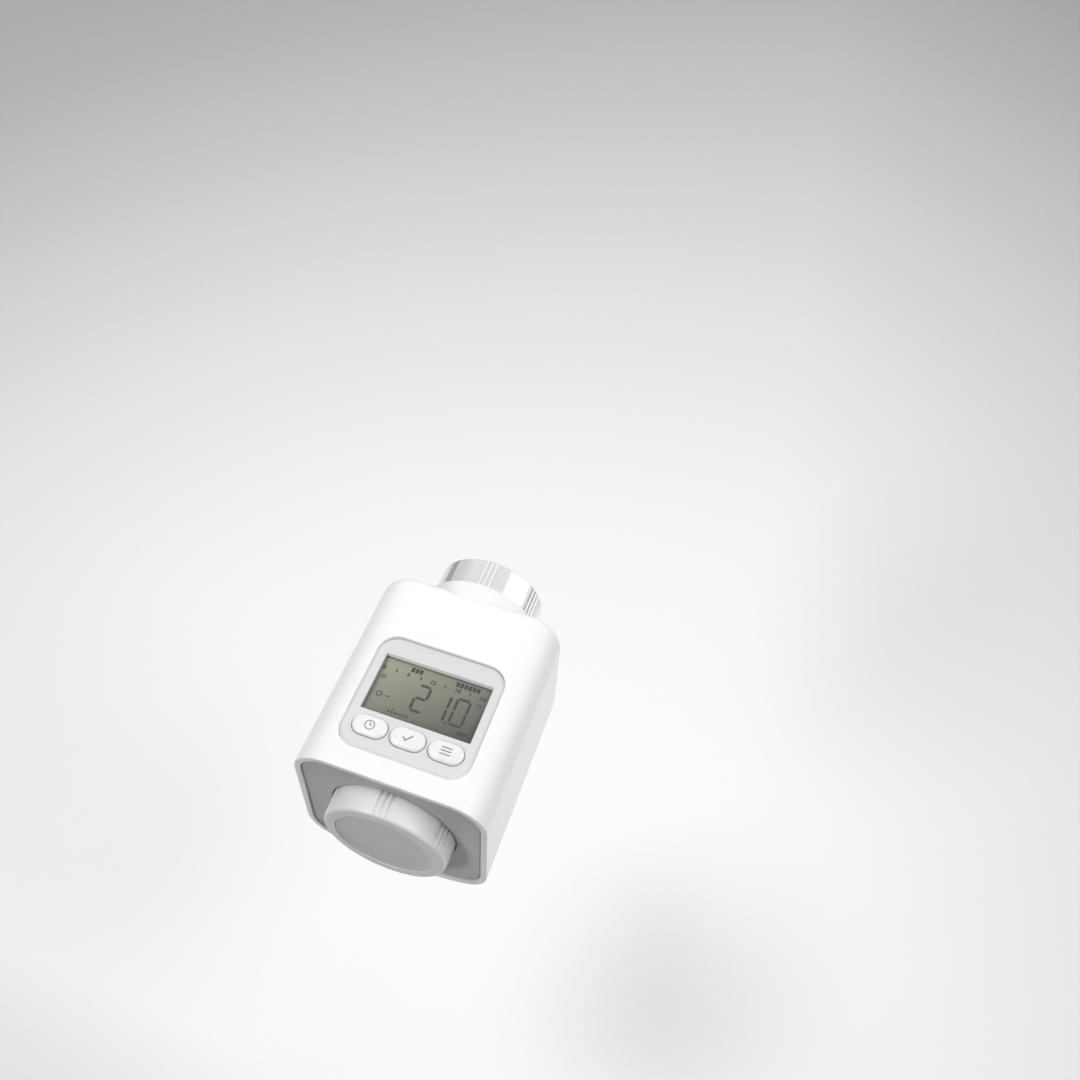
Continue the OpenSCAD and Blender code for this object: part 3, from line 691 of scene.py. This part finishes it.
cell = plate_with_holes("lcd_glass", [rounded_loop(-18.2, 18.2, -66, -44.7, 0.15, 2)], 17.25, 18.55, 0.08)
smooth_over(cell)
lcd_glass = add_finish("lcd_glass", (0.31, 0.32, 0.235), (0.29, 0.3, 0.22), 0.35, broad=80, fine=5000,
                       depth=0.002)
lcd_glass.node_tree.nodes["Principled BSDF"].inputs["Specular IOR Level"].default_value = 0.3
# Painted reflection: the cell's colour is lighter at the rear left and darker towards the front right,
# standing in for the lamps' sheen across the screen
fade_to(lcd_glass, (14.5, -25.4, 0), 0.9, 1.8, (0.055, 0.056, 0.042))
fit(cell, lcd_glass, "head", "lcd_glass", "lcd_cell")


def prisms(name, outlines, z0, z1):
    """Closed flat marks, one for each outline (x, y)."""
    points, faces = [], []
    for outline in outlines:
        n = len(outline)
        add_part(points, faces, [(x, y, z) for z in (z0, z1) for x, y in outline],
                 [tuple(range(n - 1, -1, -1)), tuple(range(n, 2 * n))] + [(j, (j + 1) % n, n + (j + 1) % n,
                                                                           n + j)
                                                                         for j in range(n)])
    piece = build_mesh(name, points, faces)
    close_up(piece)
    return piece


SCREEN_W, SCREEN_H = 34.04, 18.7
MARK_LOW, MARK_TOP = -0.02, 0.03


def on_screen(u, v):
    """A place on the display, from its left edge and its top edge as shares of its width and height."""
    return (WINDOW[0] + SCREEN_W * u, WINDOW[3] - SCREEN_H * v)


def bar(a, b, w):
    """A six-sided bar between two points with pointed ends, as in a seven-segment digit."""
    length = hypot(b[0] - a[0], b[1] - a[1])
    t = ((b[0] - a[0]) / length * w / 2, (b[1] - a[1]) / length * w / 2)
    s = (-t[1], t[0])
    return [a, (a[0] + t[0] - s[0], a[1] + t[1] - s[1]), (b[0] - t[0] - s[0], b[1] - t[1] - s[1]), b,
            (b[0] - t[0] + s[0], b[1] - t[1] + s[1]), (a[0] + t[0] + s[0], a[1] + t[1] + s[1])]


def digit(lit, left, right, top, base, w=0.84):
    """Seven segments, a to g, between the middles of the outer bars."""
    mid = (top + base) / 2
    corners = {"a": ((left, top), (right, top)), "b": ((right, top), (right, mid)),
               "c": ((right, mid), (right, base)), "d": ((left, base), (right, base)),
               "e": ((left, mid), (left, base)), "f": ((left, top), (left, mid)),
               "g": ((left, mid), (right, mid))}
    marks = []
    for name in lit:
        (ax, ay), (bx, by) = corners[name]
        if ax == bx:
            ay, by = ay - 0.12, by + 0.12
        else:
            ax, bx = ax + 0.12, bx - 0.12
        marks.append(bar((ax, ay), (bx, by), w))
    return marks


def ring_marks(x, y, r, w, count=20):
    """A ring of small bars round a point."""
    return [[(x + rr * cos(2 * pi * t / count), y + rr * sin(2 * pi * t / count))
             for rr, t in ((r - w / 2, i), (r + w / 2, i), (r + w / 2, i + 1), (r - w / 2, i + 1))]
            for i in range(count)]


LCD_Z = 18.55
x_2, top_y = on_screen(0.39, 0.318)
base_y = on_screen(0, 0.785)[1]
digits = digit("abged", x_2, x_2 + 3.55, top_y, base_y)
x_1 = on_screen(0.692, 0)[0]
digits += digit("bc", x_1 - 3.55, x_1, top_y - 0.3, base_y - 0.3)
x_0 = on_screen(0.752, 0)[0]
digits += digit("abcdef", x_0, x_0 + 3.9, top_y - 0.3, base_y - 0.3)
px, py = on_screen(0.724, 0.815)
digits += [[(px + 0.42 * cos(pi * i / 6), py + 0.42 * sin(pi * i / 6)) for i in range(12)]]
screen_digits = prisms("temperature_digits", digits, LCD_Z + MARK_LOW, LCD_Z + MARK_TOP)
lcd_ink = add_finish("lcd_ink", (0.022, 0.03, 0.034), (0.018, 0.025, 0.028), 0.45, broad=300, fine=4000,
                     depth=0.001)
lcd_ink.node_tree.nodes["Principled BSDF"].inputs["Specular IOR Level"].default_value = 0.15
fit(screen_digits, lcd_ink, "head", "lcd_glass")

# Geometry Nodes: a straight row of one mark
row_tree = bpy.data.node_groups.new("row_of_marks", "GeometryNodeTree")
row_sockets = {}
for label, kind in (("Geometry", "Geometry"), ("Mark", "Object"), ("Count", "Int"), ("Start", "Vector"),
                    ("Step", "Vector"), ("Finish", "Material")):
    socket = row_tree.interface.new_socket(label, in_out="INPUT", socket_type="NodeSocket" + kind)
    row_sockets[label] = socket.identifier
row_tree.interface.new_socket("Geometry", in_out="OUTPUT", socket_type="NodeSocketGeometry")
r_in = row_tree.nodes.new("NodeGroupInput").outputs
row = row_tree.nodes.new("GeometryNodeMeshLine")
row.mode = "OFFSET"
link(row_tree, r_in["Count"], row.inputs["Count"])
link(row_tree, r_in["Start"], row.inputs["Start Location"])
link(row_tree, r_in["Step"], row.inputs["Offset"])
mark = row_tree.nodes.new("GeometryNodeObjectInfo")
link(row_tree, r_in["Mark"], mark.inputs["Object"])
each = row_tree.nodes.new("GeometryNodeInstanceOnPoints")
link(row_tree, row.outputs[0], each.inputs["Points"])
link(row_tree, mark.outputs["Geometry"], each.inputs["Instance"])
solid = row_tree.nodes.new("GeometryNodeRealizeInstances")
link(row_tree, each.outputs[0], solid.inputs[0])
inked = row_tree.nodes.new("GeometryNodeSetMaterial")
link(row_tree, solid.outputs[0], inked.inputs["Geometry"])
link(row_tree, r_in["Finish"], inked.inputs["Material"])
link(row_tree, inked.outputs[0], row_tree.nodes.new("NodeGroupOutput").inputs["Geometry"])


def row_of(name, mark_piece, count, start, step, material):
    piece = build_mesh(name, [(0, 0, 0)], [])
    run_nodes(piece, row_tree, row_sockets, {"Mark": mark_piece, "Count": count,
              "Start": [c * MM for c in start], "Step": [c * MM for c in step], "Finish": material})
    bpy.data.objects.remove(mark_piece)
    return piece


HOUR = 0.0385 * SCREEN_W


def hour_x(hour):
    return on_screen(0.022, 0)[0] + hour * HOUR


square_y = on_screen(0, 0.1)[1]
tick_y = on_screen(0, 0.205)[1]
hour_rows = []
for name, hour, count, w, d, y, step in (("morning", 6.5, 3, 1.02, 1.6, square_y, 1),
                                         ("evening", 17.5, 6, 1.02, 1.6, square_y, 1),
                                         ("ticks", 3, 4, 0.42, 1.0, tick_y, 6)):
    one = prisms("one_mark", [[(-w / 2, -d / 2), (w / 2, -d / 2), (w / 2, d / 2), (-w / 2, d / 2)]],
                 MARK_LOW, MARK_TOP)
    hour_rows.append(row_of(name, one, count, (hour_x(hour), y, LCD_Z), (HOUR * step, 0, 0), lcd_ink))
day_x, day_y = on_screen(0.23, 0.9)
one = prisms("one_mark", [[(-0.3, -0.3), (0.3, -0.3), (0.3, 0.3), (-0.3, 0.3)]], MARK_LOW, MARK_TOP)
hour_rows.append(row_of("days", one, 7, (day_x, day_y - 0.5, LCD_Z), (0.95, 0, 0), lcd_ink))
hour_scale = join("hour_scale", hour_rows)
fit(hour_scale, lcd_ink, "head", "lcd_glass")

for hour in (0, 6, 12, 18, 24):
    curve = bpy.data.curves.new("hour_number", "FONT")
    curve.body = str(hour)
    curve.size = 1.9 * MM
    curve.offset = 0.07 * MM
    curve.extrude = 0.02 * MM
    curve.align_x = "CENTER"
    curve.align_y = "CENTER"
    curve.resolution_u = 4
    label = bpy.data.objects.new("hour_number", curve)
    bpy.context.scene.collection.objects.link(label)
    bpy.context.view_layer.update()
    mesh = bpy.data.meshes.new_from_object(label.evaluated_get(bpy.context.evaluated_depsgraph_get()))
    mesh.transform(Matrix.Translation((hour_x(hour) * MM, (tick_y - 0.1) * MM, LCD_Z * MM)))
    bpy.data.objects.remove(label)
    number = bpy.data.objects.new("hour_number_%d" % hour, mesh)
    bpy.context.scene.collection.objects.link(number)
    fit(number, lcd_ink, "head", "lcd_glass")

signs = ring_marks(*on_screen(0.94, 0.35), 0.56, 0.32)
sun_x, sun_y = on_screen(0.05, 0.37)
signs += ring_marks(sun_x, sun_y, 0.5, 0.24)
for i in range(8):
    a = pi * i / 4
    ray = [(sun_x + r * cos(a), sun_y + r * sin(a)) for r in (0.72, 1.06)]
    signs.append(bar(*ray, 0.24))
loop_x, loop_y = on_screen(0.085, 0.69)
signs += ring_marks(loop_x, loop_y, 0.8, 0.28)[1:17]
signs.append([(loop_x + 0.35, loop_y - 0.35), (loop_x + 1.15, loop_y - 0.25), (loop_x + 0.8, loop_y + 0.4)])
signs.append(bar((loop_x + 1.9, loop_y), (loop_x + 3.4, loop_y), 0.36))
signs.append(bar((day_x + 0.5, day_y + 0.45), (day_x + 1.4, day_y + 0.45), 0.4))
bx, by = on_screen(0.905, 0.9)
signs += [[(bx - 1.7, by - 0.6), (bx - 0.15, by - 0.6), (bx - 0.15, by + 0.6), (bx - 1.7, by + 0.6)],
          [(bx + 0.05, by - 0.6), (bx + 1.2, by - 0.6), (bx + 1.2, by + 0.6), (bx + 0.05, by + 0.6)],
          [(bx + 1.2, by - 0.25), (bx + 1.5, by - 0.25), (bx + 1.5, by + 0.25), (bx + 1.2, by + 0.25)]]
screen_signs = prisms("screen_signs", signs, LCD_Z + MARK_LOW, LCD_Z + MARK_TOP)
fit(screen_signs, lcd_ink, "head", "lcd_glass")

# ---- Three keys ----
# White ABS caps with a low pillowed crown stand just above the fascia. Each carries one printed grey
# sign: a clock, a tick and three menu bars.
CROWN_Z = 21.45


def key_cap(name, x):
    crown = [(0.0, PANEL_Z - 2.2), (0.0, CROWN_Z - 0.95), (0.05, CROWN_Z - 0.72), (0.16, CROWN_Z - 0.5),
             (0.34, CROWN_Z - 0.32), (0.6, CROWN_Z - 0.17), (0.95, CROWN_Z - 0.07), (1.4, CROWN_Z - 0.015),
             (1.9, CROWN_Z), (2.6, CROWN_Z), (3.2, CROWN_Z)]
    points = []
    count = None
    for inset, z in crown:
        loop = pill_loop(x, KEY_Y, KEY_W - 2 * inset, KEY_D - 2 * inset, 14)
        count = len(loop)
        points += [(px, py, z) for px, py in loop]
    faces = loft((len(crown), count))
    faces += [tuple(range(count)), tuple(range((len(crown) - 1) * count, len(crown) * count))]
    cap = build_mesh(name, points, faces)
    close_up(cap)
    flange = plate_with_holes("flange", [pill_loop(x, KEY_Y, KEY_W + 0.6, KEY_D + 0.6)], PANEL_Z - 2.95,
                              PANEL_Z - 2.1, 0.1)
    stem = post("stem", x, KEY_Y, 1.5, PANEL_Z - 4.1, PANEL_Z - 2.9)
    whole = join(name, [cap, flange, stem])
    smooth_over(whole)
    return whole


def stroke(path, w):
    """The outline of a line of even width through three points, with mitred joint and square ends."""
    (ax, ay), (bx, by), (cx, cy) = path
    sides = []
    for (px, py), (qx, qy) in (((ax, ay), (bx, by)), ((bx, by), (cx, cy))):
        length = hypot(qx - px, qy - py)
        sides.append((-(qy - py) / length * w / 2, (qx - px) / length * w / 2))
    (nx, ny), (mx, my) = sides
    k = 1 / (1 + (nx * mx + ny * my) / (w * w / 4))
    jx, jy = (nx + mx) * k, (ny + my) * k
    return [(ax + nx, ay + ny), (ax - nx, ay - ny), (bx - jx, by - jy), (cx - mx, cy - my),
            (cx + mx, cy + my),
            (bx + jx, by + jy)]


key_white = add_finish("key_white", (0.8, 0.8, 0.795), (0.78, 0.78, 0.775), 0.27, spread=0.04, broad=60,
                       fine=2600,
                       depth=0.002, coat=0.2, coat_rough=0.2)
key_print = add_finish("key_print", (0.27, 0.27, 0.28), (0.23, 0.23, 0.24), 0.5, broad=200, fine=6000,
                       depth=0.004)
SIGN_Z = (CROWN_Z - 0.02, CROWN_Z + 0.02)
for sign, x in KEY_XS.items():
    cap = key_cap("key_" + sign, x)
    body = sign + "_key"
    fit(cap, key_white, body, "key_white", "button_" + sign)
    if sign == "clock":
        marks = ring_marks(x, KEY_Y, 1.4, 0.34, 32)
        marks.append(stroke([(x, KEY_Y + 0.95), (x, KEY_Y), (x + 0.7, KEY_Y)], 0.32))
    elif sign == "confirm":
        marks = [stroke([(x - 1.3, KEY_Y - 0.05), (x - 0.4, KEY_Y - 0.95), (x + 1.35, KEY_Y + 1.05)], 0.46)]
    else:
        marks = [[(x - 1.6, KEY_Y + dy - 0.2), (x + 1.6, KEY_Y + dy - 0.2), (x + 1.6, KEY_Y + dy + 0.2),
                  (x - 1.6, KEY_Y + dy + 0.2)] for dy in (-1.05, 0, 1.05)]
    printed = prisms("sign_" + sign, marks, *SIGN_Z)
    fit(printed, key_print, body, "key_white")

# ---- Union nut ----
# A brass nut, turned, threaded inside, knurled with groups of fine grooves and bright nickel-chrome
# plated. It turns freely on the spigot behind the housing and screws onto the valve.
NUT_R, THREAD_R, PITCH, THREAD_DEPTH = 17.7, 14.19, 1.5, 0.8


def thread_shape(r, y, a):
    """Cuts the helical thread outwards from the bore; rows of any other radius stay round."""
    if abs(r - THREAD_R) > 0.001:
        return r
    return r + THREAD_DEPTH / 2 * (1 - cos(2 * pi * y / PITCH + a))


nut_profile = soften([(15.3, -0.02), (15.7, -0.02), (16.8, -0.02), (17.2, -0.02), (NUT_R, -0.5), (NUT_R, -6),
                      (NUT_R, -12.2), (17.3, -12.6), (16.7, -12.6), (12.5, -12.6), (12, -12.6), (12, -11),
                      (12.5, -11), (14.4, -11), (14.9, -11), (14.9, -9.05)], 0.2)
nut_profile += [(THREAD_R, y) for y in spread_between(-8.95, -0.75, 46)] + [(15.2, -0.1)]
nut = turned("union_nut_body", nut_profile, groove_columns(88, 1.23, 16), ring=True, shape=thread_shape)
# The nut's grooves run its whole length, so their front end is set far beyond it
nut_chrome = add_finish("nut_chrome", (0.92, 0.92, 0.91), (0.88, 0.88, 0.87), 0.13, spread=0.04, broad=60,
                        fine=900,
                        depth=0.0008, metallic=1)
run_nodes(nut, groove_tree, groove_sockets, {
    "Axis Height": 0.0, "First": radians(88), "Step": radians(GROOVE_STEP), "Cutter Radius": 0.4 * MM,
    "Cutter Axis": (NUT_R + 0.13) * MM, "Depth Ratio": 1.0, "Front End": -1.0, "Finish": nut_chrome})
smooth_over(nut)
fit(nut, nut_chrome, "nut", "nut_chrome", "union_nut")

# ---- Battery door ----
# A white ABS lid with the belly's curve closes the battery bay. It has tongues that snap inside the
# shell's long edges, and a row of grip ribs for the thumb.
door_outer = (-18.75, 18.75, -78.35, -23.25, 2.75)
door_xs = spread_between(door_outer[0], door_outer[1], 30)
door_ys = spread_between(door_outer[2], door_outer[3], 40)
door_points = []


def into_door(x, y):
    """Pulls a point of the square grid onto the rounded corner where it falls outside it."""
    x0, x1, y0, y1, r = door_outer
    cx, cy = min(max(x, x0 + r), x1 - r), min(max(y, y0 + r), y1 - r)
    away = max(abs(x - cx), abs(y - cy))
    if away == 0 or cx == x or cy == y:
        return x, y
    k = away / hypot(x - cx, y - cy)
    return cx + (x - cx) * k, cy + (y - cy) * k


for y in door_ys:
    for x in door_xs:
        px, py = into_door(x, y)
        door_points.append((px, py, belly_z(px)))
door_faces = loft((len(door_ys), len(door_xs)), closed=False)
door = build_mesh("door_panel", door_points, door_faces)
close_up(door)
if door.data.polygons[0].normal.z > 0:
    door.data.flip_normals()
smooth_over(door, wall=2, edge=0.3, limit=50)
tongues = [plate_with_holes("tongue", [rounded_loop(s * 18.1 - 0.5, s * 18.1 + 0.5, y, y + 8, 0.3, 3)],
                            -33, -27, 0.15)
           for s in (-1, 1) for y in (-70, -36)]
rib = plate_with_holes("rib", [pill_loop(0, 0, 14, 0.9, 6)], -0.3, 0.28, 0.25)
ribs = row_of("grip_ribs", rib, 6, (0, -30, LOW_Z), (0, 1.6, 0), white_abs)
door = join("battery_lid", [door, ribs] + tongues)
door.data.polygons.foreach_set("use_smooth", [True] * len(door.data.polygons))
door.data.set_sharp_from_angle(angle=radians(40))
fit(door, white_abs, "door", "white_abs", "battery_door")

# ---- Batteries and their contacts ----
# Two round cells in printed wraps lie side by side, nubs opposite ways. A coil spring of plated wire
# presses on each flat end.
spring_tree = bpy.data.node_groups.new("wound_spring", "GeometryNodeTree")
spring_sockets = {}
for label, kind in (("Geometry", "Geometry"), ("Turns", "Float"), ("Base Radius", "Float"),
                    ("Tip Radius", "Float"),
                    ("Height", "Float"), ("Wire Radius", "Float"), ("Finish", "Material")):
    socket = spring_tree.interface.new_socket(label, in_out="INPUT", socket_type="NodeSocket" + kind)
    spring_sockets[label] = socket.identifier
spring_tree.interface.new_socket("Geometry", in_out="OUTPUT", socket_type="NodeSocketGeometry")
s_in = spring_tree.nodes.new("NodeGroupInput").outputs
spiral = spring_tree.nodes.new("GeometryNodeCurveSpiral")
spiral.inputs["Resolution"].default_value = 48
link(spring_tree, s_in["Turns"], spiral.inputs["Rotations"])
link(spring_tree, s_in["Base Radius"], spiral.inputs["Start Radius"])
link(spring_tree, s_in["Tip Radius"], spiral.inputs["End Radius"])
link(spring_tree, s_in["Height"], spiral.inputs["Height"])
wire = spring_tree.nodes.new("GeometryNodeCurvePrimitiveCircle")
wire.inputs["Resolution"].default_value = 12
link(spring_tree, s_in["Wire Radius"], wire.inputs["Radius"])
swept = spring_tree.nodes.new("GeometryNodeCurveToMesh")
swept.inputs["Fill Caps"].default_value = True
link(spring_tree, spiral.outputs[0], swept.inputs["Curve"])
link(spring_tree, wire.outputs[0], swept.inputs["Profile Curve"])
wound = spring_tree.nodes.new("GeometryNodeRealizeInstances")
link(spring_tree, swept.outputs[0], wound.inputs[0])
plated = spring_tree.nodes.new("GeometryNodeSetMaterial")
link(spring_tree, wound.outputs[0], plated.inputs["Geometry"])
link(spring_tree, s_in["Finish"], plated.inputs["Material"])
link(spring_tree, plated.outputs[0], spring_tree.nodes.new("NodeGroupOutput").inputs["Geometry"])
contact_metal = add_finish("contact_metal", (0.72, 0.71, 0.68), (0.62, 0.61, 0.58), 0.25, broad=150,
                           fine=2500,
                           depth=0.002, metallic=1)
springs = []
for side, y in ((-1, -76.1), (1, -23.8)):
    coil = build_mesh("coil", [(0, 0, 0)], [])
    run_nodes(coil, spring_tree, spring_sockets, {"Turns": 3.0, "Base Radius": 4.6 * MM,
                                                  "Tip Radius": 3.2 * MM,
              "Height": 0.9 * MM, "Wire Radius": 0.3 * MM, "Finish": contact_metal})
    coil.data.transform(Matrix.Translation((side * 8 * MM, y * MM, -26.5 * MM))
                        @ Matrix.Rotation(radians(90 * side), 4, "X") @ Matrix.Translation((0, 0, 0.3 * MM)))
    springs.append(coil)
spring_pair = join("coil_springs", springs)
close_up(spring_pair)
smooth_over(spring_pair)
fit(spring_pair, contact_metal, "head", "contact_metal", "battery_springs")

cell_wrap = add_finish("cell_wrap", (0.05, 0.13, 0.24), (0.04, 0.11, 0.21), 0.32, broad=60, fine=1200,
                       depth=0.003,
                       coat=0.4, coat_rough=0.15)

# ---- Inner pieces that keep their made shape ----
# Boards, switches, motor, gears, screws and the valve side keep the frame's own meshes, and get the
# finish of the stuff they are made of.
finishes = {
    "knob_clip": add_finish("spring_steel", (0.34, 0.33, 0.32), (0.26, 0.25, 0.24), 0.35, fine=900,
                            metallic=1),
    "encoder_body": add_finish("switch_black", (0.035, 0.035, 0.037), (0.025, 0.025, 0.027), 0.45, fine=2500),
    "encoder_board": add_finish("board_green", (0.03, 0.17, 0.08), (0.02, 0.13, 0.06), 0.35, broad=120,
                                fine=3500),
    "encoder_pins": add_finish("pin_gold", (0.83, 0.62, 0.26), (0.74, 0.54, 0.22), 0.28, fine=900,
                               metallic=1),
    "lcd_frame": add_finish("frame_white", (0.74, 0.74, 0.72), (0.7, 0.7, 0.68), 0.5, fine=2400),
    "contact_strips": add_finish("elastomer", (0.1, 0.1, 0.11), (0.07, 0.07, 0.08), 0.7, broad=400,
                                 fine=4000),
    "board_parts": add_finish("chip_black", (0.03, 0.03, 0.03), (0.02, 0.02, 0.022), 0.5, fine=3500),
    "board_screws": add_finish("screw_steel", (0.62, 0.62, 0.6), (0.5, 0.5, 0.49), 0.3, fine=1500,
                               metallic=1),
    "battery_tray": add_finish("tray_grey", (0.4, 0.4, 0.41), (0.36, 0.36, 0.37), 0.5, fine=2000),
    "motor_can": add_finish("motor_steel", (0.6, 0.6, 0.6), (0.5, 0.5, 0.51), 0.3, fine=700, stretch=0.1,
                            metallic=1),
    "motor_pinion": add_finish("pinion_brass", (0.78, 0.57, 0.25), (0.68, 0.48, 0.2), 0.3, fine=1500,
                               metallic=1),
    "motor_leads": add_finish("lead_red", (0.42, 0.03, 0.03), (0.34, 0.02, 0.02), 0.45, fine=1500),
    "first_gear": add_finish("gear_acetal", (0.78, 0.75, 0.66), (0.72, 0.69, 0.6), 0.38, fine=1800),
    "gear_pins": add_finish("steel_pin", (0.6, 0.6, 0.6), (0.52, 0.52, 0.52), 0.2, fine=900, metallic=1),
    "gear_frame": add_finish("nylon_grey", (0.2, 0.2, 0.21), (0.16, 0.16, 0.17), 0.5, fine=1800),
}
same_as = {
    "key_switches": "encoder_body", "main_board": "encoder_board", "gear_screws": "board_screws",
    "adapter_screws": "board_screws", "second_gear": "first_gear", "spindle_gear": "first_gear",
    "motor_shaft": "gear_pins", "plunger": "gear_pins", "thrust_washer": "motor_pinion",
    "valve_adapter": "gear_frame", "pusher_cap": "gear_frame", "nut_ring": "gear_pins",
}
for node, twin in same_as.items():
    finishes[node] = finishes[twin]
finishes["cell_left"] = finishes["cell_right"] = cell_wrap
finishes["battery_plates"] = contact_metal
for node, material in finishes.items():
    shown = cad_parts[node]
    if shown.data.materials:
        for i in range(len(shown.data.materials)):
            shown.data.materials[i] = material
    else:
        shown.data.materials.append(material)

bpy.context.view_layer.update()
